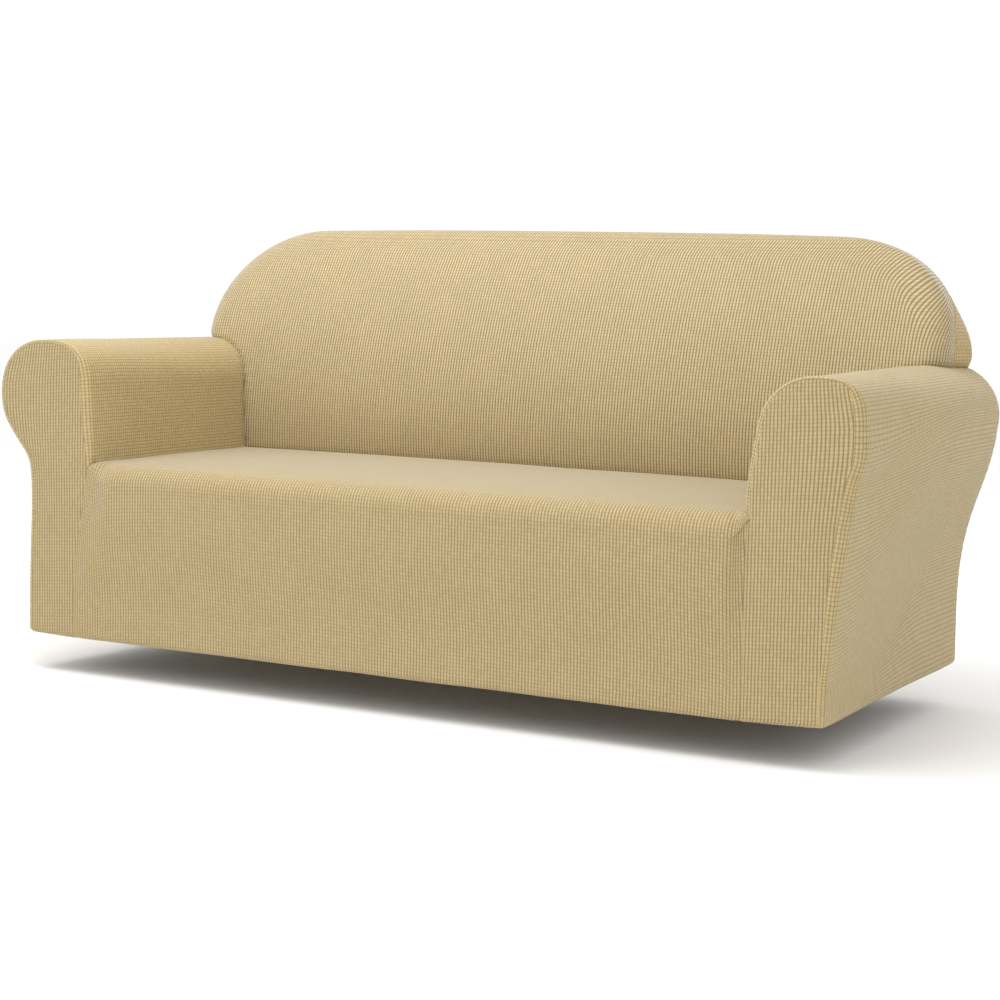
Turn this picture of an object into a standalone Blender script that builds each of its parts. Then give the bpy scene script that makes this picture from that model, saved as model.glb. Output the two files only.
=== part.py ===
"""Stretch slipcover for a three-seat sofa with rolled arms, worn tight and left hollow underneath.

Metres, +Z up, +Y towards the back, +X to the right of someone who faces the seat. Sizes are worked out
from the fold of the hem (height 0) and the front of the arms (depth 0). The finished panels are then moved
so that the origin lies under the crest of the back, where the sofa holds the cover up.

The whole outer surface is drawn first, as welded patches that each belong to one cut panel. Each panel
then gets its thickness along the normals of the whole surface, so that neighbours meet on a mitre with
a fine gap, as two sewn edges do.
"""

from collections import namedtuple
from math import acos, copysign, cos, hypot, pi, radians, sin

import bmesh
import bpy
from mathutils import Vector

# Cloth
THICKNESS = 0.003
TRIM = 0.00018  # taken off each sewn edge, so that two panels never touch
WELD = 1e-5

# Overall
HALF_WIDTH = 0.935  # at the hem
DEPTH = 0.813  # at the hem
REAR_LEAN = 0.015  # how far the outside back comes forward for each metre of height
HEM_RADIUS = 0.012
HEM_FRONT, HEM_REAR = 0.001, 0.009  # heights at which the cloth starts to turn under
HEM_CORNERS = {-1: 0.003, 1: 0.006}  # the same at the two front corners
LIP = 0.034  # how far the hem reaches under the frame

# Seat
SEAT_HEIGHT = 0.382
SEAT_CREASE = 0.589  # depth at which the seat meets the inside back
SEAT_CROWN = 0.012
SEAT_EDGE_RADIUS = 0.045
SEAT_EDGE_BLEND = 0.028  # width over which the front edge tightens towards an arm
PROUD = 0.016  # how far the seat front stands before the arm fronts
PROUD_BLEND = 0.022
PROUD_BOTTOM, PROUD_TOP = 0.05, 0.27  # heights between which it comes forward

# Arms
ARM_INNER = 0.775  # half the width between them
Section = namedtuple(
    "Section",
    "inner wall_power inner_power outer_power roll_x roll_z roll_in roll_out roll_up roll_end "
    "handle foot_x foot_z foot_handle",
)
# Each outline of an arm, as seen from the front, goes from the seat up its inner wall, over the roll and
# down to the hem. The roll is an ellipse around (roll_x, roll_z) that reaches roll_in towards the seat,
# roll_out away from it and roll_up above it. A power below 1 gives it a squarer shoulder, and the wall
# bows more with a larger one. From roll_end, in degrees, the outer side is one cubic curve. Each arm has its
# own outline at the front, and both change evenly to the shared one at the rear.
ARM_SECTIONS = {
    "left_front": Section(
        0.768, 1, 0.67, 1, 0.9057, 0.527, 0.127, 0.127, 0.1186, -33.9, 0.128, 0.945, 0.099, 0.343
    ),
    "right_front": Section(
        0.769, 2, 0.96, 0.63, 0.9025, 0.516, 0.1182, 0.096, 0.124, -25.2, 0.05, 0.939, 0.046, 0.08
    ),
    "rear": Section(
        0.775, 1, 1, 1, 0.9015, 0.535, 0.1114, 0.1114, 0.107, -5, 0.160, 0.935, 0.118, 0.228
    ),
}
ROLL_START = 175  # where the roll begins, in degrees from its outermost point
ARM_BLEND = 0.58  # depth at which an arm has its rear outline
ARM_RIM = 0.012  # how far the front edge rounds off at the seat and at the hem
ARM_RIM_TOP = 0.006  # the same over the top of the roll
ARM_RIM_SIDES = {-1: (0.021, 0.021), 1: (0.012, 0.021)}  # at the roll's inner and its outer side
ARM_RIM_WIDEST = 0.021
RIM_INNER, RIM_OUTER = (SEAT_HEIGHT, 0.47), (0.05, 0.30)  # heights between which it changes
ARM_BULGE = 0.004

# Back
BACK_UPRIGHT = 0.40  # height up to which the inside back stands upright
BACK_CURVE = 0.655  # above that it leans away by this much for each square metre of height
BACK_BULGE = 0.012
WING_ROW_HEIGHT = 0.72  # height, in the middle, of the row that ends at the wing's foot
CREST_HEIGHT = 0.911
CREST_DROP = 0.005  # how much lower the ends of the crest are than its middle
CORNER_X, CORNER_Z = 0.652, 0.660  # centre of the large top corner
CORNER_A, CORNER_B = 0.286, 0.246
CORNER_POWER = 0.94  # 1 is an ellipse, less is fuller
WING_SPREAD, WING_WAIST = 0.012, 0.005  # how much wider its rear is low down, and narrower above that
WING_SPREAD_TOP, WING_WAIST_TOP = 25, 56  # how far round the corner each reaches, in degrees
WING_TUCK, FOOT_SPREAD = 0.007, 0.005  # how far its foot draws in at the front, and spreads at the rear
WING_RIM = 0.050  # how broad its soft front edge is
CREST_RIM = 0.030  # height of the same edge along the crest
CREST_RIM_DEPTH = 0.013
REAR_RIM = 0.018
FRONT_SHARE = 0.5  # share of the way over the rim that its front rounding takes
GUSSET_SEAM = 0.58  # share of that way at which a gusset is sewn on
GUSSET_TOP = 4  # outline steps, from the wing's foot, that a gusset spans
GUSSET_TAPER = 2  # steps over which its upper end runs out

# The side seams of the seat front. It is sewn a little further out on the left.
SEAT_SEAMS = (
    # height, left, right
    (0.370, 0.779, 0.777),
    (0.300, 0.789, 0.772),
    (0.220, 0.803, 0.772),
    (0.160, 0.813, 0.774),
    (0.075, 0.816, 0.775),
    (0.000, 0.815, 0.773),
)

# Steps of the mesh
ACROSS = (0.0, 0.2, 0.4, 0.6, 0.78, 0.88, 0.95, 0.98, 1.0)  # shares of half a seat or back
RIM_STEPS = 4
INSIDE_RIM_STEPS = 6
GUSSET_STEPS = 4
REAR_RIM_STEPS = 3
WALL_STEPS = 3
ROLL_INNER_STEPS = 8
ROLL_OUTER_STEPS = 7
SWEEP_STEPS = 7
FOOT_STEPS = 3
SEAM_STEPS = 10
LENGTH_STEPS = 10
ARM_FACE_STEPS = 5
CORNER_STEPS = 9
HEM_STEPS = 2

ORIGIN = Vector((0.0, 0.781, CREST_HEIGHT - THICKNESS))

PANELS = (
    "seat_panel",
    "arm_front_left",
    "arm_front_right",
    "arm_left",
    "arm_right",
    "inside_back",
    "wing_gusset_left",
    "wing_gusset_right",
    "outside_back",
)
CLOTH_COLOUR = (0.515, 0.432, 0.262, 1.0)
CLOTH_ROUGHNESS = 0.9


def mix(a, b, share):
    return a + (b - a) * share


def smooth(share):
    share = min(max(share, 0.0), 1.0)
    return share * share * (3 - 2 * share)


def steps(start, end, count):
    return [mix(start, end, i / count) for i in range(count + 1)]


def side_name(stem, side):
    return f"{stem}_{'right' if side > 0 else 'left'}"


# Outlines of the right arm and of the right half of the back, in width and height


def roll_point(section, angle):
    out, up = cos(angle), sin(angle)
    reach = section.roll_in if out < 0 else section.roll_out
    if up > 0:
        power = section.inner_power if out < 0 else section.outer_power
        out, up = copysign(abs(out) ** power, out), up**power
    return (section.roll_x + reach * out, section.roll_z + section.roll_up * up)


def roll_angle(x):
    """The angle of the rear outline's roll at which it reaches out to x, over its top."""
    rear = ARM_SECTIONS["rear"]
    return acos((x - rear.roll_x) / rear.roll_out)


def roll_top(x):
    return roll_point(ARM_SECTIONS["rear"], roll_angle(x))[1]


def face_depth(z):
    return SEAT_CREASE + BACK_CURVE * max(z - BACK_UPRIGHT, 0.0) ** 2


def rear_depth(z):
    return DEPTH - REAR_LEAN * z


def rim_turn(way):
    """How far the front rounding has turned, at a share of the way over the wing's rim."""
    return min(way / FRONT_SHARE, 1.0) * pi / 2


def rim_flat(way):
    """The share of the rim's flat part that lies before this point."""
    return max(way - FRONT_SHARE, 0.0) / (1 - FRONT_SHARE)


def rim_depth(way, z, face, rim):
    """The depth at height z, over a rim that starts at depth face and takes depth rim to round off."""
    start = face + rim * (1 - cos(rim_turn(way)))
    return mix(start, rear_depth(z) - REAR_RIM, rim_flat(way))


def rim_ways(seam):
    """The columns over the rim: those of the inside back up to the seam, then those of the gusset."""
    inside = steps(0, seam, INSIDE_RIM_STEPS)
    return inside, steps(seam, 1, GUSSET_STEPS)


def wing_feet():
    """The columns where the wing's end stands on the arm, from its face to its rear seam."""
    inside, gusset = rim_ways(GUSSET_SEAM)
    return inside + gusset[1:]


def foot_x(way):
    edge = CORNER_X + CORNER_A + mix(-WING_TUCK, FOOT_SPREAD, rim_flat(way))
    return edge - WING_RIM * (1 - sin(rim_turn(way)))


def sweep(section, share):
    """The outer side of the arm, from under the roll to the straight foot."""
    end = radians(section.roll_end)
    x0, z0 = roll_point(section, end)
    dx, dz = section.roll_out * sin(end), -section.roll_up * cos(end)
    reach = section.handle / hypot(dx, dz)
    xs = (x0, x0 + dx * reach, section.foot_x, section.foot_x)
    zs = (z0, z0 + dz * reach, section.foot_z + section.foot_handle, section.foot_z)
    rest = 1 - share
    weights = (rest**3, 3 * rest**2 * share, 3 * rest * share**2, share**3)
    return (sum(w * x for w, x in zip(weights, xs)), sum(w * z for w, z in zip(weights, zs)))


def arm_outline(section, hem):
    """One outline of the arm, with steps where the wing stands on it, and the first and last of those."""
    start = radians(ROLL_START)
    top_x, top_z = roll_point(section, start)
    points = [
        (mix(section.inner, top_x, share**section.wall_power), mix(SEAT_HEIGHT, top_z, share))
        for share in steps(0, 1, WALL_STEPS)
    ]
    feet = [roll_angle(foot_x(way)) for way in wing_feet()]
    points += [roll_point(section, a) for a in steps(start, feet[0], ROLL_INNER_STEPS)[1:]]
    wing_front = len(points) - 1
    points += [roll_point(section, a) for a in feet[1:]]
    wing_rear = len(points) - 1
    end = radians(section.roll_end)
    points += [roll_point(section, a) for a in steps(feet[-1], end, ROLL_OUTER_STEPS)[1:]]
    points += [sweep(section, share) for share in steps(0, 1, SWEEP_STEPS)[1:]]
    foot, foot_z = points[-1]
    points += [(foot, z) for z in steps(foot_z, hem, FOOT_STEPS)[1:]]
    return points, wing_front, wing_rear


ARM_REAR, WING_FRONT, WING_REAR = arm_outline(ARM_SECTIONS["rear"], HEM_REAR)
ARM_FRONT = {
    -1: arm_outline(ARM_SECTIONS["left_front"], HEM_CORNERS[-1])[0],
    1: arm_outline(ARM_SECTIONS["right_front"], HEM_CORNERS[1])[0],
}
ARM_LAST = len(ARM_REAR) - 1
ARM_TOP = (ARM_LAST - SEAM_STEPS) // 2  # the step that caps the arm front


def inward(outline, k, first=0):
    """The outline's inward normal at step k."""
    (x0, z0), (x1, z1) = outline[max(k - 1, first)], outline[min(k + 1, ARM_LAST)]
    length = hypot(x1 - x0, z1 - z0)
    return ((z1 - z0) / length, (x0 - x1) / length)


def rim_radius(k, side):
    """How far the arm rounds off to its front at step k."""
    outer = k > ARM_TOP
    low, high = RIM_OUTER if outer else RIM_INNER
    roll = smooth((ARM_FRONT[side][k][1] - low) / (high - low))
    sideways = inward(ARM_FRONT[side], k)[0] ** 4
    return mix(mix(ARM_RIM, ARM_RIM_TOP, roll), ARM_RIM_SIDES[side][outer], roll * sideways)


def arm_point(k, y, side):
    """A point of the arm's outer surface: step k of its outline, at depth y."""
    back = smooth((y - ARM_RIM_WIDEST) / (ARM_BLEND - ARM_RIM_WIDEST))
    (front_x, front_z), (rear_x, rear_z) = ARM_FRONT[side][k], ARM_REAR[k]
    return Vector((side * mix(front_x, rear_x, back), y, mix(front_z, rear_z, back)))


def arm_end(k):
    """The depth at which the arm panel ends: at the inside back, round the wing, or at the rear seam."""
    z = ARM_REAR[k][1]
    if k <= WING_FRONT:
        return face_depth(z)
    if k <= WING_REAR:
        return rim_depth(wing_feet()[k - WING_FRONT], z, face_depth(z), WING_RIM)
    return rear_depth(z) - REAR_RIM


def corner_turn(i):
    """How far step i of the wing's outline has gone round the top corner."""
    return max(i - 1, 0) / CORNER_STEPS * pi / 2


def wing_point(i, rear):
    """Step i of the wing's outline above its foot, at a share of the way from its front to its rear."""
    turn = corner_turn(i)
    spread = WING_SPREAD * (1 - smooth(turn / radians(WING_SPREAD_TOP)))
    spread -= WING_WAIST * sin(pi * min(turn / radians(WING_WAIST_TOP), 1.0)) ** 2
    x = CORNER_X + CORNER_A * abs(cos(turn)) ** CORNER_POWER + spread * rear
    return (x, CORNER_Z + CORNER_B * sin(turn) ** CORNER_POWER)


def wing_normal(i):
    turn = corner_turn(i)
    x = abs(cos(turn)) ** (2 - CORNER_POWER) / CORNER_A
    z = sin(turn) ** (2 - CORNER_POWER) / CORNER_B
    length = hypot(x, z)
    return (-x / length, -z / length)


def rim_size(i):
    """The inset and the depth of the soft front edge, at step i of the outline."""
    top = sin(corner_turn(i)) ** 2
    return mix(WING_RIM, CREST_RIM, top), mix(WING_RIM, CREST_RIM_DEPTH, top)


def crest_height(share):
    return CREST_HEIGHT - CREST_DROP * abs(share) ** 3


def shares():
    """Where the columns of a seat or back lie, from -1 at its left edge to 1 at its right."""
    return [-share for share in reversed(ACROSS[1:])] + list(ACROSS)


# Patches of the outer surface


class Cover:
    """The whole outer surface, gathered patch by patch."""

    def __init__(self):
        self.mesh = bmesh.new()

    def patch(self, panel, rows):
        """Joins each row of points to the next one with faces that belong to the panel."""
        verts = [[self.mesh.verts.new(point) for point in row] for row in rows]
        for low, high in zip(verts, verts[1:]):
            for i in range(len(low) - 1):
                face = self.mesh.faces.new((low[i], low[i + 1], high[i + 1], high[i]))
                face.material_index = PANELS.index(panel)

    def hem(self, panel, row):
        """Rolls a row of points along the bottom under the frame."""
        turns = steps(0, pi / 2, HEM_STEPS)
        marks = [(HEM_RADIUS * (1 - cos(t)), HEM_RADIUS * sin(t)) for t in turns]
        rows = []
        for inset, drop in marks + [(LIP, HEM_RADIUS)]:
            across = 1 - inset / HALF_WIDTH
            along = 1 - inset / (DEPTH / 2)
            rows.append(
                [Vector((p.x * across, mix(DEPTH / 2, p.y, along), p.z - drop)) for p in row]
            )
        self.patch(panel, rows)


def seam_x(z, side):
    """How far out the seat front's side seam lies at height z."""
    column = 2 if side > 0 else 1
    for upper, lower in zip(SEAT_SEAMS, SEAT_SEAMS[1:]):
        if z >= lower[0]:
            share = min((z - lower[0]) / (upper[0] - lower[0]), 1.0)
            return mix(lower[column], upper[column], share)
    return SEAT_SEAMS[-1][column]


def seat_seam(side):
    """The seam between seat front and arm front, from the rolled edge down to the hem."""
    heights = steps(SEAT_HEIGHT - ARM_RIM, HEM_FRONT, SEAM_STEPS)
    return [Vector((side * seam_x(z, side), 0, z)) for z in heights]


def valley(side):
    """The short curve where the seat's front edge runs into the arm's rim."""
    points = []
    inner = ARM_FRONT[side][0][0]
    for turn in steps(0, pi / 2, RIM_STEPS):
        inset = ARM_RIM * (1 - cos(turn))
        depth = ARM_RIM * (1 - sin(turn))
        points.append(Vector((side * (inner + inset), depth, SEAT_HEIGHT - inset)))
    return points


def edge_radius(share):
    inside = (1 - abs(share)) * ARM_INNER
    return mix(ARM_RIM, SEAT_EDGE_RADIUS, smooth(inside / SEAT_EDGE_BLEND))


def proud(share):
    return PROUD * smooth((1 - abs(share)) * ARM_INNER / PROUD_BLEND)


def right_or_left(share):
    return 1 if share > 0 else -1


def deck_rows():
    rows = []
    for forward in steps(0, 1, LENGTH_STEPS):
        row = []
        for share in shares():
            y = mix(SEAT_CREASE, edge_radius(share) - proud(share), forward)
            rise = SEAT_CROWN * (1 - share**4) * (1 - (2 * forward - 1) ** 4)
            edge = arm_point(0, y, right_or_left(share))
            row.append(Vector((abs(edge.x) * share, y, SEAT_HEIGHT + rise)))
        rows.append(row)
    return rows


def front_edge_rows():
    corners = {side: valley(side) for side in (-1, 1)}
    rows = []
    for j, turn in enumerate(steps(0, pi / 2, RIM_STEPS)):
        row = []
        for share in shares():
            radius = edge_radius(share)
            y = radius * (1 - sin(turn)) - proud(share)
            z = SEAT_HEIGHT - radius * (1 - cos(turn))
            corner = corners[right_or_left(share)][j]
            row.append(Vector((abs(corner.x) * share, y, z)))
        rows.append(row)
    return rows[1:]


def front_fall_rows():
    seams = {side: seat_seam(side) for side in (-1, 1)}
    rows = []
    for i in range(1, SEAM_STEPS + 1):
        row = []
        for share in shares():
            seam = seams[right_or_left(share)][i]
            z = mix(SEAT_HEIGHT - edge_radius(share), HEM_FRONT, i / SEAM_STEPS)
            come = smooth((z - PROUD_BOTTOM) / (PROUD_TOP - PROUD_BOTTOM))
            row.append(Vector((abs(seam.x) * share, -proud(share) * come, z)))
        rows.append(row)
    return rows


def seat_panel(cover):
    rows = deck_rows() + front_edge_rows() + front_fall_rows()
    cover.patch("seat_panel", rows)
    cover.hem("seat_panel", rows[-1])


def arm_rim(side):
    """The arm's rounded front edge, which ends at the seam with the arm front."""
    corner, outline = valley(side), ARM_FRONT[side]
    rows = []
    for j, turn in enumerate(steps(0, pi / 2, RIM_STEPS)):
        row = [corner[j]]
        for k in range(1, ARM_LAST + 1):
            radius = rim_radius(k, side)
            inset = radius * (1 - cos(turn))
            nx, nz = (-1.0, 0.0) if k == ARM_LAST else inward(outline, k)
            x, z = outline[k]
            row.append(Vector((side * (x + nx * inset), radius * (1 - sin(turn)), z + nz * inset)))
        rows.append(row)
    return rows


def arm_front(cover, side):
    panel = side_name("arm_front", side)
    edge = arm_rim(side)[-1]
    inner = seat_seam(side)[:0:-1] + edge[: ARM_TOP + 1]
    outer = edge[: ARM_TOP - 1 : -1]
    rows = []
    for i, (start, end) in enumerate(zip(inner, outer)):
        row = []
        for share in steps(0, 1, ARM_FACE_STEPS):
            point = start.lerp(end, share)
            if i:
                point.y -= ARM_BULGE * sin(pi * share) * sin(pi * i / (len(inner) - 1))
            row.append(point)
        rows.append(row)
    cover.patch(panel, rows)
    cover.hem(panel, rows[0])


def arm(cover, side):
    panel = side_name("arm", side)
    rim = arm_rim(side)
    cover.patch(panel, rim)
    cover.hem(panel, [row[-1] for row in rim])
    rows = []
    for k in range(ARM_LAST + 1):
        depths = steps(rim_radius(k, side), arm_end(k), LENGTH_STEPS)
        rows.append([arm_point(k, y, side) for y in depths])
    cover.patch(panel, rows)
    cover.hem(panel, rows[-1])


def inside_back_edge():
    """The right edge of the inside back: up the arm, then up the wing and round the corner."""
    edge = []
    for k in range(WING_FRONT + 1):
        point = arm_point(k, face_depth(ARM_REAR[k][1]), 1)
        edge.append((point.x, point.z))
    for i in range(1, CORNER_STEPS + 2):
        (x, z), (nx, nz) = wing_point(i, 0), wing_normal(i)
        inset = rim_size(i)[0]
        edge.append((x + nx * inset, z + nz * inset))
    return edge


def spread_rows(edge, middles, depth):
    """Rows that end on a right-hand edge and its mirror, and pass the given heights in the middle."""
    rows = []
    for (x, z), middle in zip(edge, middles):
        row = []
        for share in shares():
            height = mix(middle, z, abs(share) ** 3)
            row.append(Vector((x * share, depth(height, share), height)))
        rows.append(row)
    return rows


def inside_depth(z, share):
    rise = (z - SEAT_HEIGHT) / (CREST_HEIGHT - CREST_RIM - SEAT_HEIGHT)
    swell = BACK_BULGE * (1 - share**2) * max(1 - (2 * rise - 1) ** 4, 0.0)
    return face_depth(z) - swell


def rim_point(i, way):
    """A point over the wing's rim, at step i of its outline."""
    if i == 0:
        x = foot_x(way)
        z = roll_top(x)
        return Vector((x, rim_depth(way, z, face_depth(z), WING_RIM), z))
    (x, z), (nx, nz) = wing_point(i, rim_flat(way)), wing_normal(i)
    size, depth = rim_size(i)
    inset = size * (1 - sin(rim_turn(way)))
    x, z = x + nx * inset, z + nz * inset
    return Vector((x, rim_depth(way, z, face_depth(z), depth), z))


def gusset_seam(i):
    """The share of the way over the rim at which the gusset's seam crosses step i of the outline."""
    return mix(GUSSET_SEAM, 1.0, smooth((i - GUSSET_TOP + GUSSET_TAPER) / GUSSET_TAPER))


def crest_point(share, way):
    z = crest_height(share) - CREST_RIM * (1 - sin(rim_turn(way)))
    face = inside_depth(z, share)
    return Vector((CORNER_X * share, rim_depth(way, z, face, CREST_RIM_DEPTH), z))


def mirrored(rows, side):
    return [[Vector((side * p.x, p.y, p.z)) for p in row] for row in rows]


def inside_back(cover):
    middles = steps(SEAT_HEIGHT, WING_ROW_HEIGHT, WING_FRONT)
    middles += steps(WING_ROW_HEIGHT, CREST_HEIGHT - CREST_RIM, CORNER_STEPS + 1)[1:]
    rows = spread_rows(inside_back_edge(), middles, inside_depth)
    cover.patch("inside_back", rows)
    rim = [[rim_point(i, w) for w in rim_ways(gusset_seam(i))[0]] for i in range(CORNER_STEPS + 2)]
    for side in (-1, 1):
        cover.patch("inside_back", mirrored(rim, side))
    cover.patch(
        "inside_back",
        [[crest_point(share, w) for w in steps(0, 1, INSIDE_RIM_STEPS)] for share in shares()],
    )


def wing_gusset(cover, side):
    rows = [[rim_point(i, w) for w in rim_ways(gusset_seam(i))[1]] for i in range(GUSSET_TOP + 1)]
    cover.patch(side_name("wing_gusset", side), mirrored(rows, side))


def rear_outline():
    """The right half of the rear outline from the hem to the crest, each point with its inward normal."""
    outline = [(ARM_REAR[ARM_LAST], (-1.0, 0.0))]
    for k in range(ARM_LAST - 1, WING_REAR, -1):
        outline.append((ARM_REAR[k], inward(ARM_REAR, k, first=WING_REAR)))
    nx, nz = inward(ARM_REAR, WING_REAR, first=WING_REAR)
    meet = 1 - nx  # the wing's own normal here is (-1, 0)
    outline.append((ARM_REAR[WING_REAR], ((nx - 1) / meet, nz / meet)))
    outline += [(wing_point(i, 1), wing_normal(i)) for i in range(1, CORNER_STEPS + 2)]
    return outline


def rear_rim_point(point, normal, turn):
    inset = REAR_RIM * (1 - cos(turn))
    x, z = point[0] + normal[0] * inset, point[1] + normal[1] * inset
    return Vector((x, rear_depth(z) - REAR_RIM * (1 - sin(turn)), z))


def outside_back(cover):
    outline = rear_outline()
    turns = steps(0, pi / 2, REAR_RIM_STEPS)
    rim = [[rear_rim_point(point, normal, turn) for turn in turns] for point, normal in outline]
    crest = []
    for share in shares():
        point = (CORNER_X * share, crest_height(share))
        crest.append([rear_rim_point(point, (0.0, -1.0), turn) for turn in turns])
    cover.patch("outside_back", crest)
    for side in (-1, 1):
        cover.patch("outside_back", mirrored(rim, side))
        cover.hem("outside_back", mirrored(rim[:1], side)[0])
    edge = [(row[-1].x, row[-1].z) for row in rim]
    middles = steps(HEM_REAR, CREST_HEIGHT - REAR_RIM, len(edge) - 1)
    rows = spread_rows(edge, middles, lambda z, share: rear_depth(z))
    cover.patch("outside_back", rows)
    cover.hem("outside_back", rows[0])


def outer_surface():
    cover = Cover()
    seat_panel(cover)
    for side in (-1, 1):
        arm_front(cover, side)
        arm(cover, side)
        wing_gusset(cover, side)
    inside_back(cover)
    outside_back(cover)
    mesh = cover.mesh
    bmesh.ops.remove_doubles(mesh, verts=mesh.verts, dist=WELD)
    bmesh.ops.recalc_face_normals(mesh, faces=mesh.faces)
    mesh.normal_update()
    top = max(mesh.faces, key=lambda face: face.calc_center_median().z)
    if top.normal.z < 0:
        bmesh.ops.reverse_faces(mesh, faces=mesh.faces)
        mesh.normal_update()
    return mesh


# Panels with their thickness


def edge_pulls(mesh, index):
    """For each vertex on a sewn edge of the panel, how far it draws back into the panel."""
    pulls = {}
    for edge in mesh.edges:
        own = [face for face in edge.link_faces if face.material_index == index]
        if len(own) != 1 or len(edge.link_faces) != 2:
            continue
        along = (edge.verts[1].co - edge.verts[0].co).normalized()
        across = own[0].normal.cross(along)
        if across.dot(own[0].calc_center_median() - edge.verts[0].co) < 0:
            across.negate()
        for vert in edge.verts:
            pulls.setdefault(vert, []).append(across)
    result = {}
    for vert, ways in pulls.items():
        total = sum(ways, Vector())
        result[vert] = total * TRIM * len(ways) / max(total.length_squared, 0.5)
    return result


def panel_object(mesh, index):
    """One panel as a closed solid: its outer side, its inner side and the edges between them."""
    faces = [face for face in mesh.faces if face.material_index == index]
    pulls = edge_pulls(mesh, index)
    solid = bmesh.new()
    outer, inner = {}, {}
    for vert in {vert for face in faces for vert in face.verts}:
        place = vert.co + pulls.get(vert, Vector()) - ORIGIN
        outer[vert] = solid.verts.new(place)
        depth = vert.normal * vert.calc_shell_factor() * THICKNESS
        inner[vert] = solid.verts.new(place - depth)
    for face in faces:
        solid.faces.new([outer[vert] for vert in face.verts])
        solid.faces.new([inner[vert] for vert in reversed(face.verts)])
        for loop in face.loops:
            others = [other for other in loop.edge.link_faces if other is not face]
            if any(other.material_index == index for other in others):
                continue
            start, end = loop.vert, loop.link_loop_next.vert
            if tuple(start.co) < tuple(end.co):  # the neighbour's edge is split along the same line
                solid.faces.new((outer[end], outer[start], inner[end]))
                solid.faces.new((outer[start], inner[start], inner[end]))
            else:
                solid.faces.new((outer[end], outer[start], inner[start]))
                solid.faces.new((outer[end], inner[start], inner[end]))
    name = PANELS[index]
    data = bpy.data.meshes.new(name)
    solid.to_mesh(data)
    solid.free()
    data.shade_smooth()
    data.set_sharp_from_angle(angle=radians(50))
    data.materials.append(cloth(name))
    panel = bpy.data.objects.new(name, data)
    bpy.context.scene.collection.objects.link(panel)


def cloth(name):
    material = bpy.data.materials.new(f"{name}_cloth")
    material.use_nodes = True
    shader = material.node_tree.nodes["Principled BSDF"]
    shader.inputs["Base Color"].default_value = CLOTH_COLOUR
    shader.inputs["Roughness"].default_value = CLOTH_ROUGHNESS
    shader.inputs["Metallic"].default_value = 0.0
    return material


def main():
    for old in list(bpy.data.objects):
        bpy.data.objects.remove(old, do_unlink=True)
    mesh = outer_surface()
    for index in range(len(PANELS)):
        panel_object(mesh, index)
    mesh.free()


main()
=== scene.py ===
from collections import namedtuple
from functools import cache
from heapq import heappop, heappush
from math import acos, copysign, cos, exp, hypot, log, pi, radians, sin, sqrt

import bmesh
import bpy
from mathutils import Matrix, Vector, noise
from mathutils.kdtree import KDTree


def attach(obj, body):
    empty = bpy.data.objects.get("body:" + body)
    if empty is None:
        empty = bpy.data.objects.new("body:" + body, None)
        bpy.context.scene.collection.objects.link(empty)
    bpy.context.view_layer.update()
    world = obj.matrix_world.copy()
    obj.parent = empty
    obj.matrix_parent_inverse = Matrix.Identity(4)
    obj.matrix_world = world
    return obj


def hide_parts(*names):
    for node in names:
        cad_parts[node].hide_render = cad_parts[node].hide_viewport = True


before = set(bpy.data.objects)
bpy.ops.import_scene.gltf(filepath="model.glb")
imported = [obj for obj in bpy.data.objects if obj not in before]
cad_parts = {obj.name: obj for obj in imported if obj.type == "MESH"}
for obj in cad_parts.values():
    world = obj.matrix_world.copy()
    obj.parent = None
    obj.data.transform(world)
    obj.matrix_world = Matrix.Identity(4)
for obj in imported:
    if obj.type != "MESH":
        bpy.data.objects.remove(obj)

bl_info = {
    "name": "Sofa Slipcover",
    "version": (1, 0, 0),
    "blender": (4, 5, 0),
    "location": "3D View > Sidebar > Slipcover",
    "description": "Knitted stretch slipcover for a three-seat sofa with rolled arms",
    "category": "Object",
}

# Sizes are in metres, from the fold of the hem (height 0) and the front of the arms (depth 0).
# ORIGIN is the place, in those terms, of the frame's own origin under the crest of the back.
ORIGIN = Vector((0.0, 0.781, 0.908))

# Overall
HALF_WIDTH = 0.935
DEPTH = 0.813
REAR_LEAN = 0.015
HEM_RADIUS = 0.012
HEM_FRONT, HEM_REAR = 0.001, 0.009  # heights at which the cloth starts to turn under
HEM_CORNERS = {-1: 0.003, 1: 0.006}  # the same at the two front corners
LIP = 0.034  # how far the hem reaches in under the sofa

# Seat
SEAT_HEIGHT = 0.382
SEAT_CREASE = 0.589
SEAT_CROWN = 0.012
SEAT_EDGE_RADIUS = 0.045
SEAT_EDGE_BLEND = 0.028
PROUD = 0.016
PROUD_BLEND = {-1: 0.085, 1: 0.038}  # width over which the seat front steps down to each arm
PROUD_BOTTOM, PROUD_TOP = 0.05, 0.27  # heights between which that step comes in

# Arms
ARM_INNER = 0.775
Section = namedtuple(
    "Section",
    "inner wall_power inner_power outer_power roll_x roll_z roll_in roll_out roll_up roll_end "
    "handle foot_x foot_z foot_handle",
)
ARM_SECTIONS = {
    "left_front": Section(
        0.768, 1, 0.67, 1, 0.9057, 0.527, 0.127, 0.127, 0.1186, -33.9, 0.128, 0.945, 0.099, 0.343
    ),
    "right_front": Section(
        0.769, 2, 0.96, 0.63, 0.9025, 0.516, 0.1182, 0.096, 0.124, -25.2, 0.05, 0.939, 0.046, 0.08
    ),
    "rear": Section(
        0.775, 1, 1, 1, 0.9015, 0.535, 0.1114, 0.1114, 0.107, -5, 0.160, 0.935, 0.118, 0.228
    ),
}
ROLL_START = 175  # degrees
ARM_BLEND = 0.58  # depth at which the front outline has turned into the rear one
ARM_RIM, ARM_RIM_TOP = 0.012, 0.006
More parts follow.
